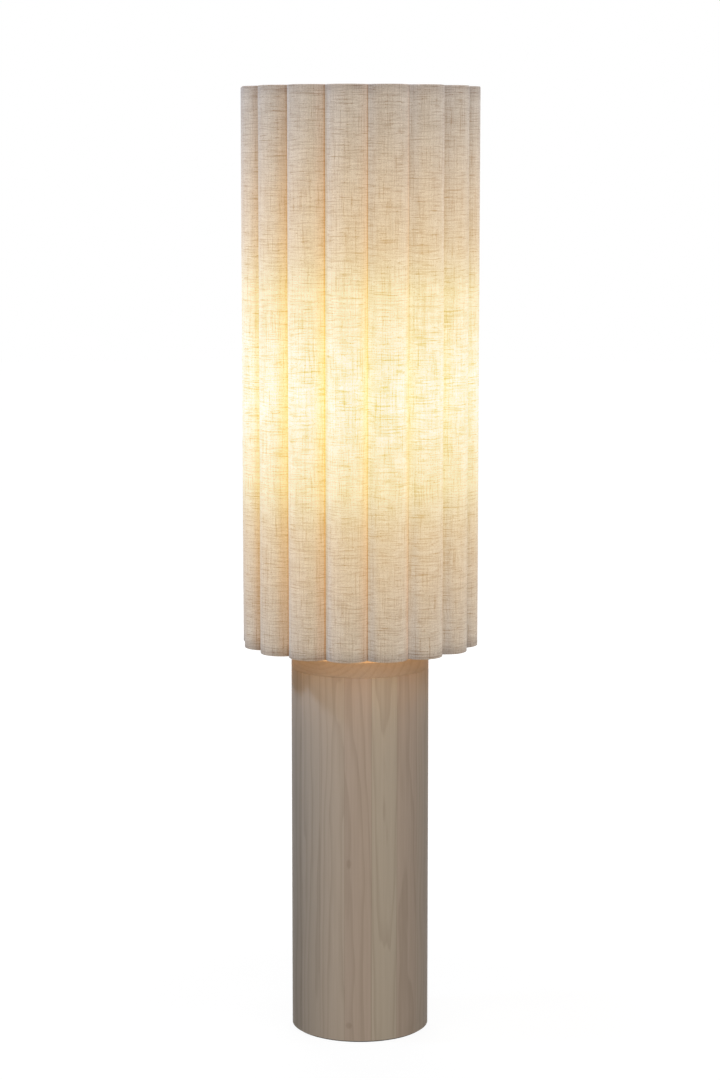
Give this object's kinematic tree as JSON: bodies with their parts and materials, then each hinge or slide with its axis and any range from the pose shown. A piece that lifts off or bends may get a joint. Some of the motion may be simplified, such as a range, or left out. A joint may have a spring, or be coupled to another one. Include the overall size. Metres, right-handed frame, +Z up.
{
  "type": "floor lamp",
  "caption": "Free-standing floor lamp with a tall fluted linen drum shade, lit from inside, on a round hollow column of upright wooden staves.",
  "frame": {"origin": "on the floor, under the middle of the column", "axes": "+Z up along the column and the shade; the front faces -Y, the cord inlet faces +Y"},
  "size_m": [0.298, 0.298, 1.2],
  "materials": {
    "stave_wood": "oiled pale hardwood, upright grain",
    "cap_wood": "oiled pale hardwood, flat-sawn board with curved grain on its edge",
    "plywood": "raw birch plywood",
    "cast_iron": "sand-cast, black primer",
    "felt": "pressed wool felt",
    "black_plastic": "moulded nylon",
    "zinc_steel": "bright zinc plate",
    "brass": "turned and brushed brass",
    "contact_brass": "pressed brass",
    "porcelain": "glazed porcelain",
    "white_powder_coat": "white powder coat",
    "linen": "natural linen, slubbed plain weave, lit from behind",
    "liner": "matt translucent lampshade film",
    "bulb_glass": "frosted glass",
    "nickel": "nickel plate",
    "black_glass": "black glass",
    "mount_glass": "clear glass",
    "filament": "yellow phosphor over light-emitting chips"
  },
  "bodies": {
    "column": {"stave_1": "stave_wood", "stave_2": "stave_wood", "stave_3": "stave_wood", "stave_4": "stave_wood", "stave_5": "stave_wood", "stave_6": "stave_wood", "stave_7": "stave_wood", "stave_8": "stave_wood", "stave_9": "stave_wood", "stave_10": "stave_wood", "stave_11": "stave_wood", "stave_12": "stave_wood", "stave_13": "stave_wood", "stave_14": "stave_wood", "stave_15": "stave_wood", "stave_16": "stave_wood", "cap_disc": "cap_wood", "top_plug": "plywood", "base_plug": "plywood", "iron_weight": "cast_iron", "felt_ring": "felt", "cord_bush": "black_plastic", "threaded_pipe": "zinc_steel", "pipe_nuts": "zinc_steel", "pipe_washers": "zinc_steel", "stem_sleeve": "brass", "shade_seat": "brass", "holder_cap": "brass", "holder_shell": "brass", "holder_insert": "porcelain", "holder_thread": "contact_brass", "centre_contact": "contact_brass", "terminal_screws": "zinc_steel"},
    "shade": {"linen_cover": "linen", "shade_liner": "liner", "seam_tape": "liner", "upper_ring": "white_powder_coat", "lower_ring": "white_powder_coat", "spider_hub": "white_powder_coat", "spider_arm_1": "white_powder_coat", "spider_arm_2": "white_powder_coat", "spider_arm_3": "white_powder_coat", "spider_arm_4": "white_powder_coat"},
    "clamp": {"clamp_ring": "brass"},
    "bulb": {"bulb_glass": "bulb_glass", "bulb_base": "nickel", "bulb_insulator": "black_glass", "bulb_contact": "nickel", "filament_mount": "mount_glass", "bulb_filaments": "filament"}
  },
  "joints": [
    {"name": "shade_lift", "type": "slide", "parent": "column", "child": "shade", "axis": [0, 0, 1], "range_m": [0, 0.25]},
    {"name": "clamp_turn", "type": "hinge", "parent": "shade", "child": "clamp", "pos_m": [0, 0, 0.5075], "axis": [0, 0, 1], "range_deg": [0, 1440]},
    {"name": "bulb_turn", "type": "hinge", "parent": "column", "child": "bulb", "pos_m": [0, 0, 0.775], "axis": [0, 0, 1], "range_deg": [0, 1260]}
  ]
}
